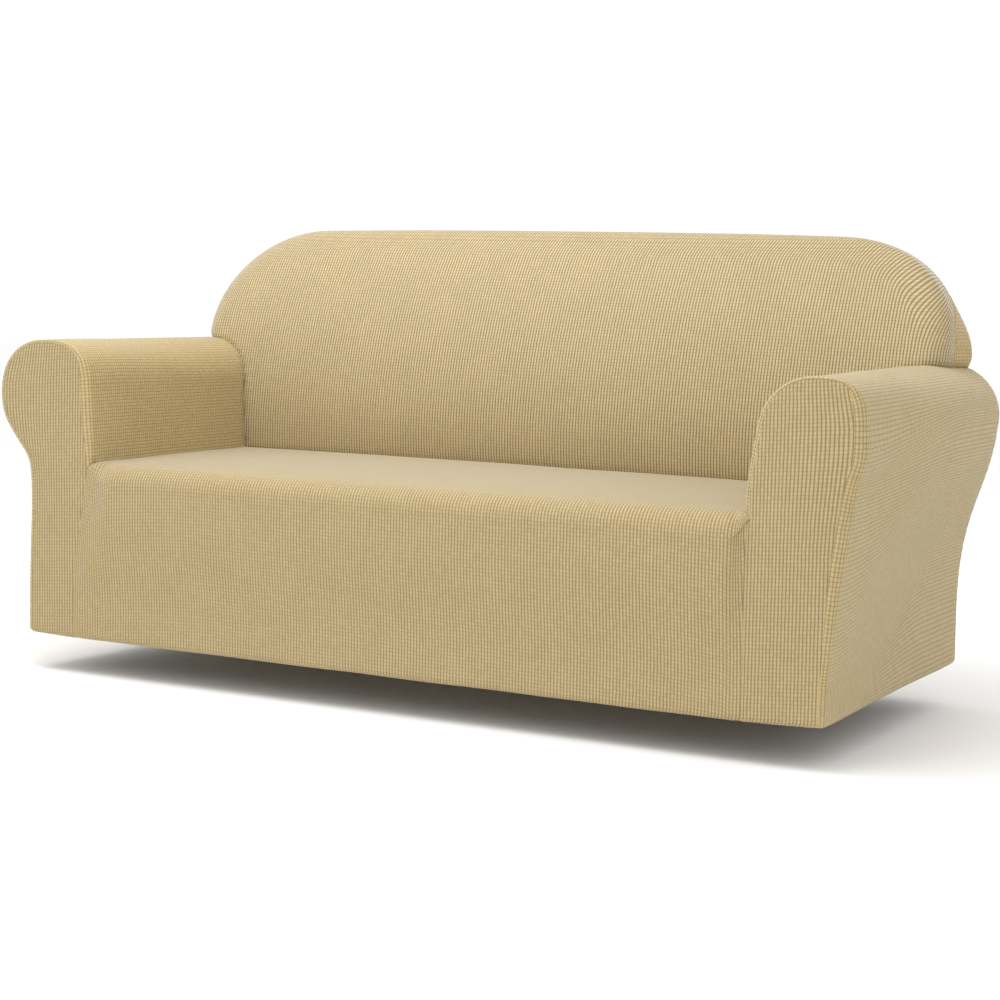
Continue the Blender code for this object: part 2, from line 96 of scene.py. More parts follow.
ARM_RIM_SIDES = {-1: (0.021, 0.021), 1: (0.012, 0.021)}  # inner and outer side of the roll
ARM_RIM_WIDEST = 0.021
RIM_INNER, RIM_OUTER = (SEAT_HEIGHT, 0.47), (0.05, 0.30)  # heights over which the rim changes
ARM_BULGE = 0.004

# Back
BACK_UPRIGHT = 0.40
BACK_CURVE = 0.655
BACK_BULGE = 0.012
WING_ROW_HEIGHT = 0.72
CREST_HEIGHT = 0.911
CREST_DROP = 0.005
CORNER_X, CORNER_Z = 0.652, 0.660  # middle of the corner's curve
CORNER_A, CORNER_B = 0.286, 0.246  # its reach, sideways and up
CORNER_POWER = 0.94
WING_SPREAD, WING_WAIST = 0.012, 0.005
WING_SPREAD_TOP, WING_WAIST_TOP = 25, 56  # degrees up the corner
WING_TUCK, FOOT_SPREAD = 0.007, 0.005
WING_RIM = 0.050
CREST_RIM = 0.030
CREST_RIM_DEPTH = 0.013
REAR_RIM = 0.018
FRONT_SHARE = 0.5  # share of the way over the rim that is its rounded front
GUSSET_SEAM = 0.58
GUSSET_TOP = 4 / 9  # share of the corner, from the wing's foot, that a gusset spans
GUSSET_FOOT = 1 / 9  # the part of it that the foot takes
GUSSET_TAPER = 2 / 9

# The side seams of the seat front: height, left, right
SEAT_SEAMS = (
    (0.370, 0.779, 0.777),
    (0.300, 0.789, 0.772),
    (0.220, 0.803, 0.772),
    (0.160, 0.813, 0.774),
    (0.075, 0.816, 0.775),
    (0.000, 0.815, 0.773),
)

# Steps of the mesh
MIDDLE_STEPS, SIDE_STEPS = 76, 28  # columns over half the width: its middle, its denser side
SIDE_FROM = 0.90  # share of the half width at which the denser side begins
RIM_STEPS, REAR_RIM_STEPS = 8, 6
INSIDE_RIM_STEPS, GUSSET_STEPS = 12, 10
WALL_STEPS, SWEEP_STEPS, FOOT_STEPS = 38, 90, 10
ROLL_INNER_STEPS, ROLL_OUTER_STEPS = 36, 48
SEAM_STEPS = 90
DECK_STEPS = 70
ARM_STEPS, ARM_DENSER = 72, 1.5  # denser towards the arm's front
ARM_FACE_STEPS = 36
CORNER_STEPS = 45
CORNER_FIRST = 5  # steps over the wing's foot, below the corner
CORNER_LAST = CORNER_FIRST + CORNER_STEPS
HEM_STEPS, LIP_STEPS = 4, 3

# The sag of the knit's cross lines on the seat front: on each side where it starts, how wide the
# way to the seam is, the drop at its end and how sharply it sets in
SAG = {-1: (0.45, 0.36, 0.032, 1.7), 1: (0.50, 0.28, 0.010, 2)}
SAG_TOP = 0.4  # share of the left side's sag that is there at the seat's edge already
SAG_HEIGHT, SAG_DECK = 0.16, 0.2  # it sets in this far below the edge, and reaches back this far

# The knit near an arm's front seam is pulled wider, more so on the left
ARM_STRETCH, ARM_STRETCH_REACH, ARM_STRETCH_RIM = {-1: 0.010, 1: 0.002}, 0.035, 0.02

# The ribs of an arm front bow out with its roll, and its cross lines rise towards the right
FRONT_FLARE, FRONT_TILT = 0.020, 0.08
FLARE_FROM, FLARE_WIDTH, FLARE_MOST = 0.79, 0.19, 1.3
FLARE_LOW, FLARE_LOW_BLEND = 0.30, 0.22
FLARE_HIGH, FLARE_HIGH_BLEND, FLARE_LOSS = 0.54, 0.11, 0.8

# The lean of the inside back's ribs near its upper edge: over the crest, more at the right corner
LEAN, LEAN_REACH = 0.008, 0.030
CORNER_LEAN, CORNER_LEAN_REACH = 0.012, 0.035
LEAN_FROM, LEAN_BLEND = 0.25, 0.40
LEAN_TURN = 40  # degrees up the corner from the wing's side, over which the lean sets in

# The knit near the seams
SEAM_KINDS = {
    # two panels that meet: depth of the groove, its reach,
    # height of the puckers, their length, their reach
    ("seat_panel", "arm_front"): (0.0012, 0.0050, 0.0005, 0.016, 0.014),
    ("seat_panel", "arm"): (0.0030, 0.0070, 0.0004, 0.021, 0.014),
    ("seat_panel", "inside_back"): (0.0015, 0.0060, 0.0004, 0.024, 0.012),
    ("arm_front", "arm"): (0.0006, 0.0045, 0.0004, 0.014, 0.016),
    ("arm", "inside_back"): (0.0020, 0.0055, 0.0005, 0.022, 0.018),
    ("arm", "wing_gusset"): (0.0020, 0.0045, 0.0005, 0.016, 0.012),
    ("inside_back", "wing_gusset"): (0.0018, 0.0034, 0.0006, 0.013, 0.014),
    ("wing_gusset", "outside_back"): (0.0015, 0.0034, 0.0003, 0.015, 0.010),
    ("arm", "outside_back"): (0.0015, 0.0034, 0.0003, 0.018, 0.010),
    ("inside_back", "outside_back"): (0.0015, 0.0034, 0.0003, 0.018, 0.010),
}
PANEL_KNIT = {
    # as each panel is stretched: depth of the ribs' grooves and of the cross lines,
    # share of the sheen, and a tint that is painted shade and light: the one cloth made
    # darker, lighter or yellower panel by panel for the light that falls on each
    "seat_panel": (0.78, 0.33, 1.1, (0.83, 0.80, 0.76)),
    "arm_front": (0.80, 0.35, 0.8, (0.84, 0.81, 0.78)),
    "arm": (0.60, 0.50, 0.5, (0.89, 0.86, 0.78)),
    "inside_back": (1.00, 0.36, 1.1, (0.91, 0.90, 0.95)),
    "wing_gusset": (0.80, 0.45, 0.5, (0.95, 0.87, 0.70)),
    "outside_back": (1.00, 0.36, 1.0, (0.97, 0.95, 0.92)),
}
SEAM_SEARCH = 0.05  # a seam is felt up to this far
SEAM_TURN = 0.004  # beside a seam the cloth moves along with it, up to this far
PUCKER_SHIFT, PUCKER_SCALE = 2.2, 22  # how irregular the puckers are
SHELL_LIMIT = 1.6  # how much thicker the cloth may count where it turns sharply
UNEVEN, UNEVEN_LENGTH = 0.0011, 0.16  # soft unevenness of the stretched cloth
THICKNESS = 0.002
TRIM = 0.00015  # half the gap between two panels
WELD = 1e-6
SHARP = 60  # degrees

# The knit's looks that are the same everywhere
WANDER, WANDER_SCALE = 0.0016, 38.0
YARN_SCALE, YARN_HEIGHT = 900.0, 0.18
CLOUD_SCALE = 9.0
ROUGHNESS, STITCH_SHINE = 0.86, 0.12
SHEEN_ROUGHNESS = 0.3

# The stage
WHITE = (1.0, 1.0, 1.0, 1.0)
FLOOR_REACH = 14.0
FLOOR_COLOUR, FLOOR_ROUGHNESS, FLOOR_SPECULAR = (0.93, 0.93, 0.93, 1.0), 0.9, 0.1
SKY_STRENGTH = 1.05
LIGHTS = {
    # place, width and height, watts
    "high": ((-0.5, -1.3, 1.9), (3.0, 1.6), 62),
    "front": ((0.6, -4.6, 0.9), (4.0, 2.5), 4),
}
LIGHT_AIM = Vector((0.0, -0.4, -0.5))
CAMERA_PLACE = (2.3257, -4.5395, -0.0873)
CAMERA_YAW, CAMERA_PITCH, CAMERA_ROLL = 0.504, 0.088, 0.0205
CAMERA_SENSOR, CAMERA_SHIFT, CAMERA_FAR = 36.0, -0.0365, 60.0

FLAT_SIZES = {
    # width, length and area of the cut piece before it is stretched
    "seat_panel": (1.58, 0.98, 1.50),
    "arm_front_left": (0.26, 0.68, 0.100),
    "arm_front_right": (0.24, 0.68, 0.107),
    "arm_left": (0.78, 1.02, 0.77),
    "arm_right": (0.78, 1.02, 0.755),
    "inside_back": (1.92, 0.70, 0.99),
    "wing_gusset_left": (0.09, 0.17, 0.009),
    "wing_gusset_right": (0.09, 0.17, 0.009),
    "outside_back": (2.00, 0.94, 1.74),
}
PANELS = tuple(FLAT_SIZES)


def mix(a, b, share):
    return a + (b - a) * share


def smooth(share):
    share = min(max(share, 0.0), 1.0)
    return share * share * (3 - 2 * share)


def steps(start, end, count):
    return [mix(start, end, i / count) for i in range(count + 1)]


def side_name(stem, side):
    return f"{stem}_{'right' if side > 0 else 'left'}"


# Outlines of the right arm and of the right half of the back, in width and height


def roll_point(section, angle):
    out, up = cos(angle), sin(angle)
    reach = section.roll_in if out < 0 else section.roll_out
    if up > 0:
        power = section.inner_power if out < 0 else section.outer_power
        out, up = copysign(abs(out) ** power, out), up**power
    return (section.roll_x + reach * out, section.roll_z + section.roll_up * up)


def roll_angle(x):
    """The angle of the rear outline's roll at which it reaches out to x, over its top."""
    rear = ARM_SECTIONS["rear"]
    return acos((x - rear.roll_x) / rear.roll_out)


def face_depth(z):
    return SEAT_CREASE + BACK_CURVE * max(z - BACK_UPRIGHT, 0.0) ** 2


def face_length(z):
    """How far up the inside back's cloth the height z lies, from the seat."""
    rise = max(z - BACK_UPRIGHT, 0.0)
    slope = 2 * BACK_CURVE * rise
    stretch = sqrt(1 + slope**2)
    curved = rise / 2 * stretch + log(slope + stretch) / (4 * BACK_CURVE)
    return min(z, BACK_UPRIGHT) - SEAT_HEIGHT + curved


def rear_depth(z):
    return DEPTH - REAR_LEAN * z


def rim_turn(way):
    return min(way / FRONT_SHARE, 1.0) * pi / 2


def rim_flat(way):
    return max(way - FRONT_SHARE, 0.0) / (1 - FRONT_SHARE)


def rim_depth(way, z, face, rim):
    start = face + rim * (1 - cos(rim_turn(way)))
    return mix(start, rear_depth(z) - REAR_RIM, rim_flat(way))


def rim_ways(seam):
    """The columns over the rim: the inside back's up to the seam, then the gusset's."""
    return steps(0, seam, INSIDE_RIM_STEPS), steps(seam, 1, GUSSET_STEPS)


def wing_feet():
    inside, gusset = rim_ways(GUSSET_SEAM)
    return inside + gusset[1:]


def foot_x(way):
    edge = CORNER_X + CORNER_A + mix(-WING_TUCK, FOOT_SPREAD, rim_flat(way))
    return edge - WING_RIM * (1 - sin(rim_turn(way)))


def sweep(section, share):
    """The outer side of the arm, from under the roll to the straight foot."""
    end = radians(section.roll_end)
    x0, z0 = roll_point(section, end)
    dx, dz = section.roll_out * sin(end), -section.roll_up * cos(end)
    reach = section.handle / hypot(dx, dz)
    xs = (x0, x0 + dx * reach, section.foot_x, section.foot_x)
    zs = (z0, z0 + dz * reach, section.foot_z + section.foot_handle, section.foot_z)
    rest = 1 - share
    weights = (rest**3, 3 * rest**2 * share, 3 * rest * share**2, share**3)
    return (sum(w * x for w, x in zip(weights, xs)), sum(w * z for w, z in zip(weights, zs)))


def arm_outline(section, hem):
    """One outline of the arm, and its first and last step under the wing that stands on it."""
    start = radians(ROLL_START)
    top_x, top_z = roll_point(section, start)
    points = [
        (mix(section.inner, top_x, share**section.wall_power), mix(SEAT_HEIGHT, top_z, share))
        for share in steps(0, 1, WALL_STEPS)
    ]
    feet = [roll_angle(foot_x(way)) for way in wing_feet()]
    points += [roll_point(section, a) for a in steps(start, feet[0], ROLL_INNER_STEPS)[1:]]
    wing_front = len(points) - 1
    points += [roll_point(section, a) for a in feet[1:]]
    wing_rear = len(points) - 1
    end = radians(section.roll_end)
    points += [roll_point(section, a) for a in steps(feet[-1], end, ROLL_OUTER_STEPS)[1:]]
    points += [sweep(section, share) for share in steps(0, 1, SWEEP_STEPS)[1:]]
    foot, foot_z = points[-1]
    points += [(foot, z) for z in steps(foot_z, hem, FOOT_STEPS)[1:]]
    return points, wing_front, wing_rear


ARM_REAR, WING_FRONT, WING_REAR = arm_outline(ARM_SECTIONS["rear"], HEM_REAR)
ARM_FRONT = {
    -1: arm_outline(ARM_SECTIONS["left_front"], HEM_CORNERS[-1])[0],
    1: arm_outline(ARM_SECTIONS["right_front"], HEM_CORNERS[1])[0],
}
ARM_LAST = len(ARM_REAR) - 1
ARM_TOP = (ARM_LAST - SEAM_STEPS) // 2  # the step that caps the arm front


def run_lengths(outline):
    """How far along an outline each of its points lies."""
    lengths = [0.0]
    for (x0, z0), (x1, z1) in zip(outline, outline[1:]):
        lengths.append(lengths[-1] + hypot(x1 - x0, z1 - z0))
    return lengths


REAR_RUN = run_lengths(ARM_REAR)
FRONT_RUN = {side: run_lengths(outline) for side, outline in ARM_FRONT.items()}


def inward(outline, k, first=0):
    """The outline's inward normal at step k."""
    (x0, z0), (x1, z1) = outline[max(k - 1, first)], outline[min(k + 1, ARM_LAST)]
    length = hypot(x1 - x0, z1 - z0)
    return ((z1 - z0) / length, (x0 - x1) / length)


def rim_radius(k, side):
    """How far the arm rounds off to its front at step k."""
    outer = k > ARM_TOP
    low, high = RIM_OUTER if outer else RIM_INNER
    roll = smooth((ARM_FRONT[side][k][1] - low) / (high - low))
    sideways = inward(ARM_FRONT[side], k)[0] ** 4
    return mix(mix(ARM_RIM, ARM_RIM_TOP, roll), ARM_RIM_SIDES[side][outer], roll * sideways)


def arm_point(k, y, side):
    """A point of the arm's outer surface: step k of its outline, at depth y."""
    back = smooth((y - ARM_RIM_WIDEST) / (ARM_BLEND - ARM_RIM_WIDEST))
    (front_x, front_z), (rear_x, rear_z) = ARM_FRONT[side][k], ARM_REAR[k]
    return Vector((side * mix(front_x, rear_x, back), y, mix(front_z, rear_z, back)))


def arm_end(k):
    """The depth at which the arm ends: at the inside back, round the wing or at the rear seam."""
    z = ARM_REAR[k][1]
    if k <= WING_FRONT:
        return face_depth(z)
    if k <= WING_REAR:
        return rim_depth(wing_feet()[k - WING_FRONT], z, face_depth(z), WING_RIM)
    return rear_depth(z) - REAR_RIM


def corner_turn(i):
    return max(i - CORNER_FIRST, 0) / CORNER_STEPS * pi / 2


def wing_point(i, rear):
    """Step i of the wing's outline above its foot, at a share of the way to its rear."""
    turn = corner_turn(i)
    spread = WING_SPREAD * (1 - smooth(turn / radians(WING_SPREAD_TOP)))
    spread -= WING_WAIST * sin(pi * min(turn / radians(WING_WAIST_TOP), 1.0)) ** 2
    x = CORNER_X + CORNER_A * abs(cos(turn)) ** CORNER_POWER + spread * rear
    return (x, CORNER_Z + CORNER_B * sin(turn) ** CORNER_POWER)


def wing_normal(i):
    turn = corner_turn(i)
    x = abs(cos(turn)) ** (2 - CORNER_POWER) / CORNER_A
    z = sin(turn) ** (2 - CORNER_POWER) / CORNER_B
    length = hypot(x, z)
    return (-x / length, -z / length)


def rim_size(i):
    """The inset and the depth of the soft front edge, at step i of the outline."""
    top = sin(corner_turn(i)) ** 2
    return mix(WING_RIM, CREST_RIM, top), mix(WING_RIM, CREST_RIM_DEPTH, top)


def crest_height(share):
    return CREST_HEIGHT - CREST_DROP * abs(share) ** 3


# Where the columns of a seat or back lie, from -1 at its left edge to 1 at its right
HALF = steps(0, SIDE_FROM, MIDDLE_STEPS) + steps(SIDE_FROM, 1, SIDE_STEPS)[1:]
SHARES = [-share for share in reversed(HALF[1:])] + HALF


# Patches of the outer surface. Each point carries its place on the knit: across the ribs, and
# along them.


class Cover:
    """The whole outer surface, gathered patch by patch."""

    def __init__(self):
        self.mesh = bmesh.new()
        self.knit = self.mesh.loops.layers.uv.new("Knit")

    def patch(self, panel, rows, knit_rows):
        verts = [[self.mesh.verts.new(point) for point in row] for row in rows]
        index = PANELS.index(panel)
        for j in range(len(rows) - 1):
            for i in range(len(rows[j]) - 1):
                corners = ((j, i), (j, i + 1), (j + 1, i + 1), (j + 1, i))
                face = self.mesh.faces.new([verts[a][b] for a, b in corners])
                face.material_index = index
                for loop, (a, b) in zip(face.loops, corners):
                    loop[self.knit].uv = knit_rows[a][b]

    def hem(self, panel, row, knit_row):
        """Rolls a row of points along the bottom under the frame."""
        turns = steps(0, pi / 2, HEM_STEPS)
        marks = [(HEM_RADIUS * (1 - cos(t)), HEM_RADIUS * sin(t), HEM_RADIUS * t) for t in turns]
        round_length = marks[-1][2]
        for reach in steps(HEM_RADIUS, LIP, LIP_STEPS)[1:]:
            marks.append((reach, HEM_RADIUS, round_length + reach - HEM_RADIUS))
        rows, knit_rows = [], []
        for inset, drop, length in marks:
            across = 1 - inset / HALF_WIDTH
            along = 1 - inset / (DEPTH / 2)
            rows.append(
                [Vector((p.x * across, mix(DEPTH / 2, p.y, along), p.z - drop)) for p in row]
            )
            knit_rows.append([(u, v + length) for u, v in knit_row])
        self.patch(panel, rows, knit_rows)


def seam_x(z, side):
    """How far out the seat front's side seam lies at height z."""
    column = 2 if side > 0 else 1
    for upper, lower in zip(SEAT_SEAMS, SEAT_SEAMS[1:]):
        if z >= lower[0]:
            share = min((z - lower[0]) / (upper[0] - lower[0]), 1.0)
            return mix(lower[column], upper[column], share)
    return SEAT_SEAMS[-1][column]


def seat_seam(side):
    """The seam between seat front and arm front, from the rolled edge down to the hem."""
    heights = steps(SEAT_HEIGHT - ARM_RIM, HEM_FRONT, SEAM_STEPS)
    return [Vector((side * seam_x(z, side), 0, z)) for z in heights]


def valley(side):
    """The short curve where the seat's front edge runs into the arm's rim."""
    inner, points = ARM_FRONT[side][0][0], []
    for turn in steps(0, pi / 2, RIM_STEPS):
        inset = ARM_RIM * (1 - cos(turn))
        depth = ARM_RIM * (1 - sin(turn))
        points.append(Vector((side * (inner + inset), depth, SEAT_HEIGHT - inset)))
    return points


def edge_radius(share):
    inside = (1 - abs(share)) * ARM_INNER
    return mix(ARM_RIM, SEAT_EDGE_RADIUS, smooth(inside / SEAT_EDGE_BLEND))


def right_or_left(share):
    return 1 if share > 0 else -1


def proud(share):
    return PROUD * smooth((1 - abs(share)) * ARM_INNER / PROUD_BLEND[right_or_left(share)])


def across_cloth(row):
    """How far along the cloth each point of a seat row lies right of the middle."""
    lengths = [0.0]
    for start, end in zip(row, row[1:]):
        lengths.append(lengths[-1] + (end - start).length)
    middle = lengths[len(row) // 2]
    return [length - middle for length in lengths]


def seat_droop(x, z):
    """How far the cross lines sag on the seat front, towards the seams that pull it down."""
    start, width, drop, power = SAG[right_or_left(x)]
    share = max(abs(x) - start, 0.0) / width
    low = smooth((SEAT_HEIGHT - z) / SAG_HEIGHT)
    if x < 0:
        low = mix(SAG_TOP, 1.0, low)
    return drop * low * share**power


def seat_rows(marks, place):
    """Rows of the seat, where place gives a point and its run down the cloth."""
    rows, knit = [], []
    for mark in marks:
        row, runs = zip(*(place(mark, share) for share in SHARES))
        rows.append(row)
        knit.append(list(zip(across_cloth(row), runs)))
    return rows, knit


def deck_place(forward, share):
    y = mix(SEAT_CREASE, edge_radius(share) - proud(share), forward)
    rise = SEAT_CROWN * (1 - share**4) * (1 - (2 * forward - 1) ** 4)
    edge = arm_point(0, y, right_or_left(share))
    point = Vector((abs(edge.x) * share, y, SEAT_HEIGHT + rise))
    return point, -y - seat_droop(point.x, SEAT_HEIGHT) * smooth(1 - y / SAG_DECK)


def front_edge_place(mark, share):
    turn, corners = mark
    radius = edge_radius(share)
    y = radius * (1 - sin(turn)) - proud(share)
    z = SEAT_HEIGHT - radius * (1 - cos(turn))
    point = Vector((abs(corners[right_or_left(share)].x) * share, y, z))
    return point, proud(share) - radius + radius * turn - seat_droop(point.x, z)


def front_fall_place(mark, share):
    down, seams = mark
    radius = edge_radius(share)
    z = mix(SEAT_HEIGHT - radius, HEM_FRONT, down)
    come = smooth((z - PROUD_BOTTOM) / (PROUD_TOP - PROUD_BOTTOM))
    seam = seams[right_or_left(share)]
    point = Vector((abs(seam.x) * share, -proud(share) * come, z))
    run = proud(share) + radius * (pi / 2 - 1) + (SEAT_HEIGHT - radius - z)
    return point, run - seat_droop(point.x, z)


def paired(line):
    """The points of a line on the left and on the right, step by step."""
    return [dict(zip((-1, 1), pair)) for pair in zip(line(-1), line(1))]


def seat_panel(cover):
    turns, falls = steps(0, pi / 2, RIM_STEPS), steps(0, 1, SEAM_STEPS)
    for marks, place in (
        (steps(0, 1, DECK_STEPS), deck_place),
        (zip(turns, paired(valley)), front_edge_place),
        (zip(falls, paired(seat_seam)), front_fall_place),
    ):
        rows, knit = seat_rows(marks, place)
        cover.patch("seat_panel", rows, knit)
    cover.hem("seat_panel", rows[-1], knit[-1])


def arm_knit(k, u, side):
    along = (FRONT_RUN[side][k] + REAR_RUN[k]) / 2
    stretch = ARM_STRETCH[side] * exp(-max(u + ARM_STRETCH_RIM, 0.0) / ARM_STRETCH_REACH)
    return (u + stretch, along)


def arm_rim(side):
    """The arm's rounded front edge, which ends at the seam with the arm front."""
    corner, outline = valley(side), ARM_FRONT[side]
    rows, knit = [], []
    for j, turn in enumerate(steps(0, pi / 2, RIM_STEPS)):
        row, knit_row = [corner[j]], []
        for k in range(ARM_LAST + 1):
            radius = rim_radius(k, side)
            knit_row.append(arm_knit(k, radius * (1 - turn), side))
            if k == 0:
                continue
            inset = radius * (1 - cos(turn))
            nx, nz = (-1.0, 0.0) if k == ARM_LAST else inward(outline, k)
            x, z = outline[k]
            row.append(Vector((side * (x + nx * inset), radius * (1 - sin(turn)), z + nz * inset)))
        rows.append(row)
        knit.append(knit_row)
    return rows, knit


def front_knit(point, side):
    out = abs(point.x)
    across = min(max((out - FLARE_FROM) / FLARE_WIDTH, 0.0), FLARE_MOST)
    low = smooth((point.z - FLARE_LOW) / FLARE_LOW_BLEND)
    high = smooth((point.z - FLARE_HIGH) / FLARE_HIGH_BLEND)
    u = out - FRONT_FLARE * low * (1 - FLARE_LOSS * high) * across**2
    return (side * u, -point.z + FRONT_TILT * point.x)


def arm_front(cover, side):
    panel = side_name("arm_front", side)
    edge = arm_rim(side)[0][-1]
    inner = seat_seam(side)[:0:-1] + edge[: ARM_TOP + 1]
    outer = edge[: ARM_TOP - 1 : -1]
    rows = []
    for i, (start, end) in enumerate(zip(inner, outer)):
        row = []
        for share in steps(0, 1, ARM_FACE_STEPS):
            point = start.lerp(end, share)
            if i:
                point.y -= ARM_BULGE * sin(pi * share) * sin(pi * i / (len(inner) - 1))
            row.append(point)
        rows.append(row)
    knit = [[front_knit(point, side) for point in row] for row in rows]
    cover.patch(panel, rows, knit)
    cover.hem(panel, rows[0], knit[0])


def arm(cover, side):
    panel = side_name("arm", side)
    rows, knit = arm_rim(side)
    cover.patch(panel, rows, knit)
    cover.hem(panel, [row[-1] for row in rows], [row[-1] for row in knit])
    rows, knit = [], []
    for k in range(ARM_LAST + 1):
        start, end = rim_radius(k, side), arm_end(k)
        depths = [mix(start, end, share**ARM_DENSER) for share in steps(0, 1, ARM_STEPS)]
        rows.append([arm_point(k, y, side) for y in depths])
        knit.append([arm_knit(k, y, side) for y in depths])
    cover.patch(panel, rows, knit)
    cover.hem(panel, rows[-1], knit[-1])


def inside_back_edge():
    """The right edge of the inside back: up the arm, then up the wing and round the corner."""
    edge = [arm_point(k, face_depth(ARM_REAR[k][1]), 1) for k in range(WING_FRONT + 1)]
    edge += [rim_point(i, 0) for i in range(1, CORNER_LAST + 1)]
    return [(point.x, point.z) for point in edge]


def spread_rows(edge, middles, depth):
    """Rows between a right-hand edge and its mirror, at the given heights in the middle."""
    rows = []
    for (x, z), middle in zip(edge, middles):
        row = []
        for share in SHARES:
            height = mix(middle, z, abs(share) ** 3)
            row.append(Vector((x * share, depth(height, share), height)))
        rows.append(row)
    return rows


def inside_depth(z, share):
    rise = (z - SEAT_HEIGHT) / (CREST_HEIGHT - CREST_RIM - SEAT_HEIGHT)
    swell = BACK_BULGE * (1 - share**2) * max(1 - (2 * rise - 1) ** 4, 0.0)
    return face_depth(z) - swell


def foot_point(way):
    x = foot_x(way)
    _, z = roll_point(ARM_SECTIONS["rear"], roll_angle(x))
    return Vector((x, rim_depth(way, z, face_depth(z), WING_RIM), z))


def rim_point(i, way):
    """A point over the wing's rim, at step i of its outline."""
    if i == 0:
        return foot_point(way)
    (x, z), (nx, nz) = wing_point(i, rim_flat(way)), wing_normal(i)
    size, depth = rim_size(i)
    inset = size * (1 - sin(rim_turn(way)))
    x, z = x + nx * inset, z + nz * inset
    point = Vector((x, rim_depth(way, z, face_depth(z), depth), z))
    if i < CORNER_FIRST:
        share = i / CORNER_FIRST
        foot = foot_point(way)
        bowed = mix(foot.x, point.x, sin(share * pi / 2))
        point = foot.lerp(point, share)
        point.x = bowed
    return point


def rim_length(i, way):
    """How far over the rim a point lies along the cloth."""
    size, depth = rim_size(i)
    point = rim_point(i, FRONT_SHARE)
    flat = rear_depth(point.z) - REAR_RIM - point.y
    return (size + depth) / 2 * rim_turn(way) + flat * rim_flat(way)


def rib_lean(x, turn, inside):
    """How far the ribs lean to the right, at a place inside the rim's edge or (below 0) over it."""
    corner = smooth((x - LEAN_FROM) / LEAN_BLEND)
    most = mix(LEAN, CORNER_LEAN, corner) * smooth(turn / radians(LEAN_TURN))
    reach = mix(LEAN_REACH, CORNER_LEAN_REACH, corner)
    if inside > reach:
        return 0.0
    return most * (1 - inside / reach) ** 2 if inside > 0 else most * (1 - 2 * inside / reach)


def face_knit(point):
    """The knit of the inside back's face, whose ribs lean more towards its upper edge."""
    x, z = point.x, point.z
    turn, inside = pi / 2, crest_height(x / CORNER_X) - CREST_RIM - z
    if abs(x) > CORNER_X:
        step, inside = nearest_edge(Vector((abs(x), z)))
        turn = corner_turn(step)
    return (x - rib_lean(x, turn, inside), -face_length(z))


def rim_knit(i, way, side):
    edge, turn = rim_point(i, 0), corner_turn(i)
    nx, nz = wing_normal(i)
    length = rim_length(i, way)
    u = side * (edge.x - nx * length) - rib_lean(side * edge.x, turn, -length)
    return (u, -face_length(edge.z) + nz * length)


def gusset_seam(i):
    """The share of the way over the rim at which the gusset's seam lies, at step i."""
    corner = (i - CORNER_FIRST) / CORNER_STEPS + GUSSET_FOOT
    return mix(GUSSET_SEAM, 1.0, smooth((corner - GUSSET_TOP + GUSSET_TAPER) / GUSSET_TAPER))


GUSSET_LAST = CORNER_FIRST + round((GUSSET_TOP - GUSSET_FOOT) * CORNER_STEPS)
RIM_EDGE = [rim_point(i, 0).xz for i in range(CORNER_LAST + 1)]


def nearest_edge(place):
    """The step of the rim's edge nearest to a place on the face, and how far off it is."""
    best = (0, 1.0)
    for i, (start, end) in enumerate(zip(RIM_EDGE, RIM_EDGE[1:])):
        way = end - start
        share = min(max((place - start).dot(way) / way.length_squared, 0.0), 1.0)
        distance = (place - start - way * share).length
        if distance < best[1]:
            best = (i + share, distance)
    return best


def crest_point(share, way):
    z = crest_height(share) - CREST_RIM * (1 - sin(rim_turn(way)))
    face = inside_depth(z, share)
    return Vector((CORNER_X * share, rim_depth(way, z, face, CREST_RIM_DEPTH), z))


def crest_knit(share, way):
    edge = crest_point(share, 0)
    turned = crest_point(share, FRONT_SHARE)
    flat = rear_depth(turned.z) - REAR_RIM - turned.y
    length = (CREST_RIM + CREST_RIM_DEPTH) / 2 * rim_turn(way) + flat * rim_flat(way)
    return (edge.x - rib_lean(edge.x, pi / 2, -length), -face_length(edge.z) - length)


def mirrored(rows, side):
    """Rows of points, or of places on the knit, as they are on one side."""
    return [[type(p)((side * p[0], *p[1:])) for p in row] for row in rows]


def inside_back(cover):
    middles = steps(SEAT_HEIGHT, WING_ROW_HEIGHT, WING_FRONT)
    middles += steps(WING_ROW_HEIGHT, CREST_HEIGHT - CREST_RIM, CORNER_LAST)[1:]
    rows = spread_rows(inside_back_edge(), middles, inside_depth)
    knit = [[face_knit(point) for point in row] for row in rows]
    cover.patch("inside_back", rows, knit)
    ways = [rim_ways(gusset_seam(i))[0] for i in range(CORNER_LAST + 1)]
    rim = [[rim_point(i, way) for way in row] for i, row in enumerate(ways)]
    for side in (-1, 1):
        knit = [[rim_knit(i, way, side) for way in row] for i, row in enumerate(ways)]
        cover.patch("inside_back", mirrored(rim, side), knit)
    ways = steps(0, 1, INSIDE_RIM_STEPS)
    cover.patch(
        "inside_back",
        [[crest_point(share, way) for way in ways] for share in SHARES],
        [[crest_knit(share, way) for way in ways] for share in SHARES],
    )


def wing_gusset(cover, side):
    rows = [
        [rim_point(i, way) for way in rim_ways(gusset_seam(i))[1]] for i in range(GUSSET_LAST + 1)
    ]
    knit = [[(point.y, -point.z) for point in row] for row in rows]
    cover.patch(side_name("wing_gusset", side), mirrored(rows, side), knit)


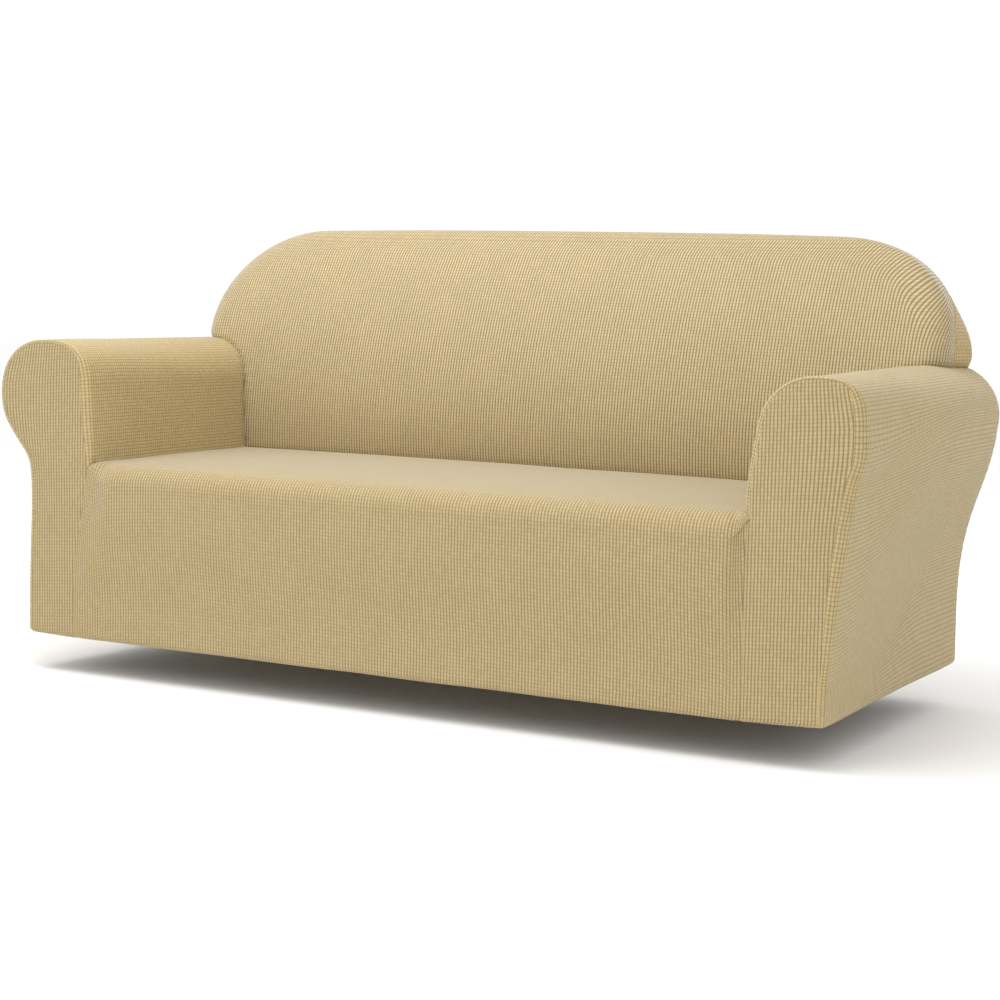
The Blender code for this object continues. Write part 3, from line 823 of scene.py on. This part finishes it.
def rear_outline():
    """The right half of the rear outline, hem to crest, each point with its inward normal."""
    outline = [(ARM_REAR[ARM_LAST], (-1.0, 0.0))]
    for k in range(ARM_LAST - 1, WING_REAR, -1):
        outline.append((ARM_REAR[k], inward(ARM_REAR, k, WING_REAR)))
    nx, nz = inward(ARM_REAR, WING_REAR, WING_REAR)
    meet = 1 - nx  # the wing's own normal here is (-1, 0)
    outline.append((ARM_REAR[WING_REAR], ((nx - 1) / meet, nz / meet)))
    for i in range(1, CORNER_LAST + 1):
        point = rim_point(i, 1)
        outline.append(((point.x, point.z), wing_normal(i)))
    return outline


def rear_rim_point(point, normal, turn):
    inset = REAR_RIM * (1 - cos(turn))
    x, z = point[0] + normal[0] * inset, point[1] + normal[1] * inset
    return Vector((x, rear_depth(z) - REAR_RIM * (1 - sin(turn)), z))


def rear_knit(point, normal, turn):
    inset = REAR_RIM * (1 + turn - pi / 2)
    return (point[0] + normal[0] * inset, -point[1] - normal[1] * inset)


def rear_rim(outline):
    """Rows over the rear rim, and their knit, from points of an outline and their normals."""
    turns = steps(0, pi / 2, REAR_RIM_STEPS)
    rows = [[rear_rim_point(*place, turn) for turn in turns] for place in outline]
    return rows, [[rear_knit(*place, turn) for turn in turns] for place in outline]


def outside_back(cover):
    crest = [((CORNER_X * share, crest_height(share)), (0.0, -1.0)) for share in SHARES]
    cover.patch("outside_back", *rear_rim(crest))
    rim, rim_cloth = rear_rim(rear_outline())
    for side in (-1, 1):
        rows, knit = mirrored(rim, side), mirrored(rim_cloth, side)
        cover.patch("outside_back", rows, knit)
        cover.hem("outside_back", rows[0], knit[0])
    edge = [(row[-1].x, row[-1].z) for row in rim]
    middles = steps(HEM_REAR, CREST_HEIGHT - REAR_RIM, len(edge) - 1)
    rows = spread_rows(edge, middles, lambda z, share: rear_depth(z))
    knit = [[(p.x, -p.z) for p in row] for row in rows]
    cover.patch("outside_back", rows, knit)
    cover.hem("outside_back", rows[0], knit[0])


# Seams and the unevenness of stretched cloth


def panel_kind(name):
    return name.removesuffix("_left").removesuffix("_right")


def seam_kind(first, second):
    """The table's row for two panels that meet, or None within one panel."""
    kinds = (panel_kind(PANELS[first]), panel_kind(PANELS[second]))
    return SEAM_KINDS.get(kinds) or SEAM_KINDS.get(kinds[::-1])


def seam_graph(mesh):
    """Each seam vertex with the kind of its seam, and how far along the seams it lies."""
    kinds, ways = {}, {}
    for edge in mesh.edges:
        if len(edge.link_faces) != 2:
            continue
        first, second = (face.material_index for face in edge.link_faces)
        if first == second:
            continue
        kind = seam_kind(first, second)
        for vert in edge.verts:
            kinds.setdefault(vert.index, kind)
            ways.setdefault(vert.index, []).append(edge)
    along = {}
    for start in ways:
        if start in along:
            continue
        heap = [(0.0, start)]
        while heap:
            length, index = heappop(heap)
            if index in along:
                continue
            along[index] = length
            for edge in ways[index]:
                other = edge.verts[0] if edge.verts[1].index == index else edge.verts[1]
                if other.index in ways and other.index not in along:
                    heappush(heap, (length + edge.calc_length(), other.index))
    return kinds, along


def seam_relief(mesh):
    """Draws the cloth in at its seams, puckers it beside them and makes it a little uneven."""
    mesh.verts.index_update()
    mesh.verts.ensure_lookup_table()
    kinds, along = seam_graph(mesh)
    tree = KDTree(len(kinds))
    for index in kinds:
        tree.insert(mesh.verts[index].co, index)
    tree.balance()
    moves = []
    for vert in mesh.verts:
        uneven = noise.noise(vert.co / UNEVEN_LENGTH) * UNEVEN
        normal = vert.normal
        shift = 0.0
        _, nearest, distance = tree.find(vert.co)
        if distance < SEAM_SEARCH:
            groove, reach, pucker, wave, pucker_reach = kinds[nearest]
            phase = 2 * pi * along[nearest] / wave
            phase += PUCKER_SHIFT * noise.noise(vert.co * PUCKER_SCALE)
            turn = min(distance / SEAM_TURN, 1)
            shift -= groove * exp(-((distance / reach) ** 2))
            shift += pucker * sin(phase) * exp(-distance / pucker_reach) * turn
            uneven *= distance / SEAM_SEARCH
            normal = mesh.verts[nearest].normal.lerp(normal, turn).normalized()
        moves.append(normal * (shift + uneven))
    for vert, move in zip(mesh.verts, moves):
        vert.co += move


@cache
def outer_surface():
    """The whole outer surface, made once for all the panels."""
    cover = Cover()
    seat_panel(cover)
    for side in (-1, 1):
        arm_front(cover, side)
        arm(cover, side)
        wing_gusset(cover, side)
    inside_back(cover)
    outside_back(cover)
    mesh = cover.mesh
    bmesh.ops.remove_doubles(mesh, verts=mesh.verts, dist=WELD)
    bmesh.ops.recalc_face_normals(mesh, faces=mesh.faces)
    mesh.normal_update()
    top = max(mesh.faces, key=lambda face: face.calc_center_median().z)
    if top.normal.z < 0:
        bmesh.ops.reverse_faces(mesh, faces=mesh.faces)
        mesh.normal_update()
    seam_relief(mesh)
    mesh.normal_update()
    return mesh


def edge_pulls(mesh, index):
    """For each vertex on a sewn edge of the panel, how far it draws back into the panel."""
    pulls = {}
    for edge in mesh.edges:
        own = [face for face in edge.link_faces if face.material_index == index]
        if len(own) != 1 or len(edge.link_faces) != 2:
            continue
        along = (edge.verts[1].co - edge.verts[0].co).normalized()
        across = own[0].normal.cross(along)
        if across.dot(own[0].calc_center_median() - edge.verts[0].co) < 0:
            across.negate()
        for vert in edge.verts:
            pulls.setdefault(vert, []).append(across)
    result = {}
    for vert, ways in pulls.items():
        total = sum(ways, Vector())
        result[vert] = total * TRIM * len(ways) / max(total.length_squared, 0.5)
    return result


def add_object(name, data):
    item = bpy.data.objects.new(name, data)
    bpy.context.scene.collection.objects.link(item)
    return item


def panel_sheet(name, thickness, material):
    """One panel as a thin closed sheet: outer side, inner side and the edges between them."""
    mesh, index = outer_surface(), PANELS.index(name)
    knit = mesh.loops.layers.uv["Knit"]
    faces = [face for face in mesh.faces if face.material_index == index]
    pulls = edge_pulls(mesh, index)
    sheet = bmesh.new()
    sheet_knit = sheet.loops.layers.uv.new("Knit")
    outer, inner = {}, {}
    for vert in {vert.index: vert for face in faces for vert in face.verts}.values():
        place = vert.co + pulls.get(vert, Vector()) - ORIGIN
        outer[vert] = sheet.verts.new(place)
        depth = thickness * min(vert.calc_shell_factor(), SHELL_LIMIT)
        inner[vert] = sheet.verts.new(place - vert.normal * depth)

    def add(corners, places, smooth_face):
        face = sheet.faces.new(corners)
        face.smooth = smooth_face
        for loop, place in zip(face.loops, places):
            loop[sheet_knit].uv = place

    for face in faces:
        places = [loop[knit].uv.copy() for loop in face.loops]
        add([outer[vert] for vert in face.verts], places, True)
        add([inner[vert] for vert in reversed(face.verts)], places[::-1], True)
        for loop in face.loops:
            others = [other for other in loop.edge.link_faces if other is not face]
            if any(other.material_index == index for other in others):
                continue
            start, end = loop.vert, loop.link_loop_next.vert
            a, b = loop[knit].uv.copy(), loop.link_loop_next[knit].uv.copy()
            add((outer[end], outer[start], inner[start], inner[end]), (b, a, a, b), False)
    data = bpy.data.meshes.new(f"{name}_sheet")
    sheet.to_mesh(data)
    sheet.free()
    data.set_sharp_from_angle(angle=radians(SHARP))
    data.materials.append(material)
    return add_object(f"{name}_cloth", data)


# Materials


@cache
def knit_group():
    """Rows of small raised stitches between deep grooves, with cross lines that are fainter."""
    group = bpy.data.node_groups.new("Check knit", "ShaderNodeTree")
    for side, kind, labels in (
        ("INPUT", "Vector", ("Place",)),
        ("INPUT", "Float", ("Rib pitch", "Groove width", "Rib depth")),
        ("INPUT", "Float", ("Cross pitch", "Cross width", "Cross depth", "Unevenness")),
        ("INPUT", "Color", ("Stitch colour", "Groove colour")),
        ("OUTPUT", "Color", ("Colour",)),
        ("OUTPUT", "Float", ("Height", "Roughness")),
    ):
        for label in labels:
            group.interface.new_socket(label, in_out=side, socket_type=f"NodeSocket{kind}")
    link = group.links.new
    given = group.nodes.new("NodeGroupInput").outputs
    out = group.nodes.new("NodeGroupOutput").inputs

    def add(kind, *values, **choices):
        """A node with its choices made, and its first inputs linked or set where they are given."""
        node = group.nodes.new(f"ShaderNode{kind}")
        for choice, value in choices.items():
            setattr(node, choice, value)
        for socket, value in zip(node.inputs, values):
            if isinstance(value, bpy.types.NodeSocket):
                link(value, socket)
            else:
                socket.default_value = value
        return node

    def math(operation, *values):
        return add("Math", *values, operation=operation).outputs[0]

    def noise_over_place(scale, detail):
        texture = add("TexNoise", given["Place"])
        texture.inputs["Scale"].default_value = scale
        texture.inputs["Detail"].default_value = detail
        return texture.outputs

    # slight wander of the ribs, so that no two run quite the same
    wander = noise_over_place(WANDER_SCALE, 1.0)["Color"]
    reach = (WANDER, WANDER, 0.0)
    moved = add("VectorMath", wander, reach, given["Place"], operation="MULTIPLY_ADD")
    split = add("SeparateXYZ", moved.outputs[0])

    # each line's dip: 0 on the stitch, and deepest in the middle of the groove
    dips = []
    cells = add("CombineXYZ")
    for axis, pitch, width, depth in (
        ("X", "Rib pitch", "Groove width", "Rib depth"),
        ("Y", "Cross pitch", "Cross width", "Cross depth"),
    ):
        place = math("DIVIDE", split.outputs[axis], given[pitch])
        link(math("FLOOR", place), cells.inputs[axis])
        rise = math("ABSOLUTE", math("SINE", math("MULTIPLY", place, pi)))
        ramp = add("MapRange", rise, 0.0, given[width], interpolation_type="SMOOTHSTEP")
        dip = math("MULTIPLY", math("SUBTRACT", 1.0, ramp.outputs["Result"]), given[depth])
        dips.append(math("SUBTRACT", 1.0, dip))
    stitch = math("MULTIPLY", *dips)

    # each stitch has its own shade, with fine yarn in it and broad clouds over it
    cell = add("TexWhiteNoise", cells.outputs[0], noise_dimensions="2D")
    own = math("SUBTRACT", cell.outputs["Value"], 0.5)
    fine = math("SUBTRACT", noise_over_place(YARN_SCALE, 2.0)["Fac"], 0.5)
    broad = math("SUBTRACT", noise_over_place(CLOUD_SCALE, 3.0)["Fac"], 0.5)
    vary = math("ADD", math("ADD", own, fine), broad)
    vary = math("MULTIPLY_ADD", vary, given["Unevenness"], 1.0)

    # the colour follows the stitch's height; the darker, yellower groove colour is painted shade
    colour = add("Mix", stitch, data_type="RGBA")
    link(given["Groove colour"], colour.inputs["A"])
    link(given["Stitch colour"], colour.inputs["B"])
    grey = add("CombineColor", vary, vary, vary)
    tinted = add("Mix", 1.0, data_type="RGBA", blend_type="MULTIPLY")
    link(colour.outputs["Result"], tinted.inputs["A"])
    link(grey.outputs["Color"], tinted.inputs["B"])
    link(tinted.outputs["Result"], out["Colour"])
    link(math("MULTIPLY_ADD", fine, YARN_HEIGHT, stitch), out["Height"])
    link(math("MULTIPLY_ADD", stitch, -STITCH_SHINE, ROUGHNESS), out["Roughness"])
    return group


def knit_material(node, settings):
    """The slipcover's knit for one panel."""
    material = bpy.data.materials.new(f"{node}_knit")
    material.use_nodes = True
    nodes, link = material.node_tree.nodes, material.node_tree.links.new
    shader = nodes["Principled BSDF"].inputs
    knit = nodes.new("ShaderNodeGroup")
    knit.node_tree = knit_group()
    place = nodes.new("ShaderNodeUVMap")
    place.uv_map = "Knit"
    link(place.outputs["UV"], knit.inputs["Place"])
    rib_depth, cross_depth, sheen_share, painted_light_tint = PANEL_KNIT[panel_kind(node)]
    for label, value in (
        ("Rib pitch", settings.rib_pitch),
        ("Cross pitch", settings.cross_pitch),
        ("Groove width", settings.groove_width),
        ("Cross width", settings.cross_width),
        ("Rib depth", rib_depth),
        ("Cross depth", cross_depth),
        # the panel's tint paints the shade and light it gets into both colours
        ("Stitch colour", (*(c * t for c, t in zip(settings.stitch_colour, painted_light_tint)), 1.0)),
        ("Groove colour", (*(c * t for c, t in zip(settings.groove_shade_colour, painted_light_tint)), 1.0)),
        ("Unevenness", settings.unevenness),
    ):
        knit.inputs[label].default_value = value
    bump = nodes.new("ShaderNodeBump")
    bump.inputs["Strength"].default_value = settings.relief_strength
    bump.inputs["Distance"].default_value = settings.relief
    link(knit.outputs["Height"], bump.inputs["Height"])
    link(knit.outputs["Colour"], shader["Base Color"])
    link(knit.outputs["Roughness"], shader["Roughness"])
    link(bump.outputs["Normal"], shader["Normal"])
    shader["Sheen Weight"].default_value = settings.sheen * sheen_share
    shader["Sheen Roughness"].default_value = SHEEN_ROUGHNESS
    shader["Sheen Tint"].default_value = WHITE
    return material


# Settings


def number(name, description, default, **more):
    return bpy.props.FloatProperty(name=name, description=description, default=default, **more)


def colour(name, description, default):
    return bpy.props.FloatVectorProperty(
        name=name, description=description, default=default, subtype="COLOR", min=0.0, max=1.0
    )


class SlipcoverKnit(bpy.types.PropertyGroup):
    rib_pitch: number("Rib pitch", "Distance between two ribs", 0.0071, unit="LENGTH")
    cross_pitch: number("Cross pitch", "Distance between two cross lines", 0.0073, unit="LENGTH")
    groove_width: number("Groove width", "How much of a rib's side the groove takes", 1.0)
    cross_width: number("Cross width", "How much of a stitch the cross line takes", 0.70)
    relief: number("Relief", "Height of the stitches", 0.0012, unit="LENGTH")
    relief_strength: number("Relief strength", "Strength of the relief", 0.7, subtype="FACTOR")
    unevenness: number("Unevenness", "How much one stitch differs from the next", 0.10)
    sheen: number("Sheen", "Soft light on the fibres", 0.60, subtype="FACTOR")
    stitch_colour: colour("Stitch colour", "Colour on top of the stitches", (0.555, 0.450, 0.245))
    # the groove colour is painted shade: the cloth darkened and yellowed in the grooves' shade
    groove_shade_colour: colour("Groove colour", "Colour deep between the ribs", (0.215, 0.150, 0.050))


class SlipcoverSizes(bpy.types.PropertyGroup):
    thickness: number("Thickness", "Thickness of the cloth", THICKNESS, unit="LENGTH")
    floor_height: number(
        "Floor height",
        "Height of the floor in the frame, with the sofa's legs under the cover",
        -0.9975,
        unit="LENGTH",
    )
    lens: number("Lens", "Focal length of the camera in millimetres", 79.23)


def cloth_piece(node):
    """One panel's sheet, which stands for its solid, attached to the root body."""
    scene = bpy.context.scene
    material = knit_material(node, scene.slipcover_knit)
    piece = panel_sheet(node, scene.slipcover_sizes.thickness, material)
    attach(piece, "root")
    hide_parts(node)


# Operators, one for each piece or group of like pieces


class SLIPCOVER_OT_seat(bpy.types.Operator):
    """The seat: one panel from the back crease over the front edge to the hem"""

    bl_idname = "slipcover.seat"
    bl_label = "Seat Panel"

    def execute(self, context):
        cloth_piece("seat_panel")
        return {"FINISHED"}


class SLIPCOVER_OT_arm_fronts(bpy.types.Operator):
    """The flat front of each arm"""

    bl_idname = "slipcover.arm_fronts"
    bl_label = "Arm Fronts"

    def execute(self, context):
        for side in ("left", "right"):
            cloth_piece(f"arm_front_{side}")
        return {"FINISHED"}


class SLIPCOVER_OT_arms(bpy.types.Operator):
    """The arms: each one panel from the seat over the roll and down the outside"""

    bl_idname = "slipcover.arms"
    bl_label = "Arms"

    def execute(self, context):
        for side in ("left", "right"):
            cloth_piece(f"arm_{side}")
        return {"FINISHED"}


class SLIPCOVER_OT_inside_back(bpy.types.Operator):
    """The inside back, with its soft edge over the wings and the crest"""

    bl_idname = "slipcover.inside_back"
    bl_label = "Inside Back"

    def execute(self, context):
        cloth_piece("inside_back")
        return {"FINISHED"}


class SLIPCOVER_OT_wing_gussets(bpy.types.Operator):
    """The small gusset at the side of each wing"""

    bl_idname = "slipcover.wing_gussets"
    bl_label = "Wing Gussets"

    def execute(self, context):
        for side in ("left", "right"):
            cloth_piece(f"wing_gusset_{side}")
        return {"FINISHED"}


class SLIPCOVER_OT_outside_back(bpy.types.Operator):
    """The outside back, from the crest to the hem"""

    bl_idname = "slipcover.outside_back"
    bl_label = "Outside Back"

    def execute(self, context):
        cloth_piece("outside_back")
        return {"FINISHED"}


def add_floor(height):
    data = bpy.data.meshes.new("studio_floor")
    corners = ((-1, -1), (1, -1), (1, 1), (-1, 1))
    verts = [(FLOOR_REACH * x, FLOOR_REACH * y, height) for x, y in corners]
    data.from_pydata(verts, [], [(0, 1, 2, 3)])
    material = bpy.data.materials.new("studio_floor_paint")
    material.use_nodes = True
    shader = material.node_tree.nodes["Principled BSDF"].inputs
    shader["Base Color"].default_value = FLOOR_COLOUR
    shader["Roughness"].default_value = FLOOR_ROUGHNESS
    shader["Specular IOR Level"].default_value = FLOOR_SPECULAR
    data.materials.append(material)
    add_object("studio_floor", data)


def add_lights():
    world = bpy.data.worlds.new("studio")
    world.use_nodes = True
    background = world.node_tree.nodes["Background"].inputs
    background["Color"].default_value = WHITE
    background["Strength"].default_value = SKY_STRENGTH
    bpy.context.scene.world = world
    for name, (place, size, power) in LIGHTS.items():
        data = bpy.data.lights.new(name, "AREA")
        data.shape = "RECTANGLE"
        data.size, data.size_y = size
        data.energy = power
        light = add_object(name, data)
        light.location = place
        light.rotation_euler = (LIGHT_AIM - Vector(place)).to_track_quat("-Z", "Y").to_euler()


def add_camera(lens):
    yaw, pitch, roll = CAMERA_YAW, CAMERA_PITCH, CAMERA_ROLL
    ahead = Vector((-sin(yaw) * cos(pitch), cos(yaw) * cos(pitch), -sin(pitch)))
    level = Vector((cos(yaw), sin(yaw), 0.0))
    above = level.cross(ahead)
    right = level * cos(roll) + above * sin(roll)
    up = above * cos(roll) - level * sin(roll)
    data = bpy.data.cameras.new("camera")
    data.sensor_width = CAMERA_SENSOR
    data.lens = lens
    data.shift_y = CAMERA_SHIFT
    data.dof.use_dof = False
    data.clip_end = CAMERA_FAR
    camera = add_object("camera", data)
    turn = Matrix((right, up, -ahead)).transposed().to_4x4()
    camera.matrix_world = Matrix.Translation(CAMERA_PLACE) @ turn
    bpy.context.scene.camera = camera


class SLIPCOVER_OT_stage(bpy.types.Operator):
    """A pale floor, soft studio light and the camera"""

    bl_idname = "slipcover.stage"
    bl_label = "Stage"

    def execute(self, context):
        sizes = context.scene.slipcover_sizes
        context.scene.view_settings.view_transform = "Standard"
        add_floor(sizes.floor_height)
        add_lights()
        add_camera(sizes.lens)
        return {"FINISHED"}


class SLIPCOVER_PT_panel(bpy.types.Panel):
    """Lists the pieces of the slipcover and its sizes"""

    bl_idname = "SLIPCOVER_PT_panel"
    bl_label = "Slipcover"
    bl_space_type = "VIEW_3D"
    bl_region_type = "UI"
    bl_category = "Slipcover"

    def draw(self, context):
        column = self.layout.column()
        for operator in PIECE_OPERATORS:
            column.operator(operator.bl_idname)
        for group in (context.scene.slipcover_knit, context.scene.slipcover_sizes):
            box = self.layout.box()
            for name in group.bl_rna.properties.keys():
                if name not in ("rna_type", "name"):
                    box.prop(group, name)


PIECE_OPERATORS = (
    SLIPCOVER_OT_seat,
    SLIPCOVER_OT_arm_fronts,
    SLIPCOVER_OT_arms,
    SLIPCOVER_OT_inside_back,
    SLIPCOVER_OT_wing_gussets,
    SLIPCOVER_OT_outside_back,
    SLIPCOVER_OT_stage,
)
CLASSES = (SlipcoverKnit, SlipcoverSizes, *PIECE_OPERATORS, SLIPCOVER_PT_panel)


def register():
    for item in CLASSES:
        bpy.utils.register_class(item)
    bpy.types.Scene.slipcover_knit = bpy.props.PointerProperty(type=SlipcoverKnit)
    bpy.types.Scene.slipcover_sizes = bpy.props.PointerProperty(type=SlipcoverSizes)


def unregister():
    del bpy.types.Scene.slipcover_sizes
    del bpy.types.Scene.slipcover_knit
    for item in reversed(CLASSES):
        bpy.utils.unregister_class(item)


def main():
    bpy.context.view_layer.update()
    bpy.ops.object.select_all(action="DESELECT")
    register()
    bpy.ops.slipcover.seat()
    bpy.ops.slipcover.arm_fronts()
    bpy.ops.slipcover.arms()
    bpy.ops.slipcover.inside_back()
    bpy.ops.slipcover.wing_gussets()
    bpy.ops.slipcover.outside_back()
    bpy.ops.slipcover.stage()


if __name__ == "__main__":
    main()
